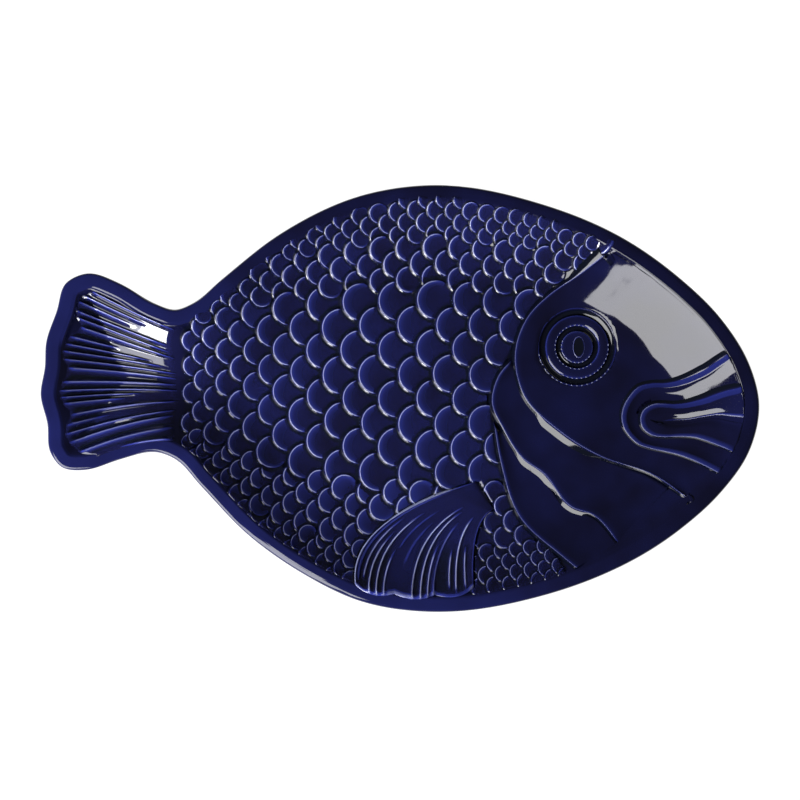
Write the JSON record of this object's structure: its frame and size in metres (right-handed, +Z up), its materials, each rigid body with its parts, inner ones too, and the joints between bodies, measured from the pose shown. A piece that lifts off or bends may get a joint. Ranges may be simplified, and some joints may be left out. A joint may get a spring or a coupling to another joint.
{
  "type": "fish shaped serving platter",
  "caption": "Shallow glazed ceramic serving platter in the shape of a fish, with scales, fin, gill, eye and mouth moulded in relief inside a smooth rim, on an oval foot ring.",
  "frame": {"origin": "centre of the bounding box in plan, on the table under the foot ring", "axes": "+X along the length toward the nose of the fish, +Y across it toward the back, +Z up out of the dish"},
  "size_m": [0.4, 0.238, 0.032],
  "materials": {
    "cobalt_glaze": "gloss cobalt blue glaze, pooled dark in the hollows and thin on the raised edges",
    "bare_stoneware": "bare fired stoneware, matt"
  },
  "bodies": {
    "root": {"platter_body": "cobalt_glaze", "foot_ring": "bare_stoneware", "tail_rays": "cobalt_glaze", "flank_scales": "cobalt_glaze", "tail_root_scales": "cobalt_glaze", "back_scales": "cobalt_glaze", "belly_scales": "cobalt_glaze", "breast_scales": "cobalt_glaze", "pectoral_fin": "cobalt_glaze", "fin_ray_set": "cobalt_glaze", "gill_flap": "cobalt_glaze", "gill_cover": "cobalt_glaze", "cheek": "cobalt_glaze", "nape_fold": "cobalt_glaze", "eye_socket": "cobalt_glaze", "eye_inner_ring": "cobalt_glaze", "iris": "cobalt_glaze", "pupil": "cobalt_glaze", "outer_lips": "cobalt_glaze", "inner_lips": "cobalt_glaze"}
  },
  "joints": []
}
